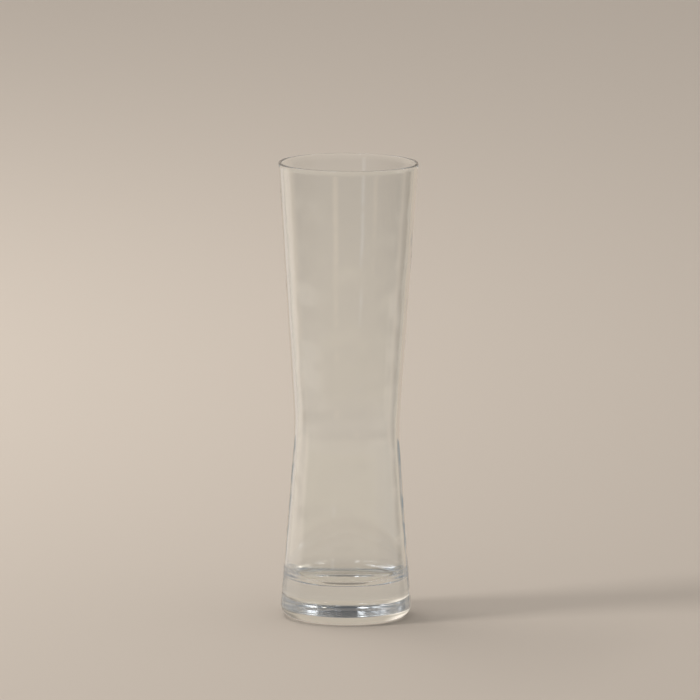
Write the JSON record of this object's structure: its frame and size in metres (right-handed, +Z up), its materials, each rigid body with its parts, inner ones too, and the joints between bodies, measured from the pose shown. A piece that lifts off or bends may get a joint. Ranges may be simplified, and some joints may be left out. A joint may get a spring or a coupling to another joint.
{
  "type": "pilsner glass",
  "caption": "Tall clear beer glass with a flared bowl, a soft waist, a widening lower cone and a thick dished base with a rounded heel.",
  "frame": {"origin": "centre of the base on the surface that the glass stands on", "axes": "+Z up along the axis of the glass; the glass is the same all round, so X and Y are free"},
  "size_m": [0.0696, 0.0696, 0.229],
  "materials": {
    "glass": "clear soda-lime glass, fire-polished lip, smooth"
  },
  "bodies": {
    "root": {"base": "glass", "bowl": "glass"}
  },
  "joints": []
}
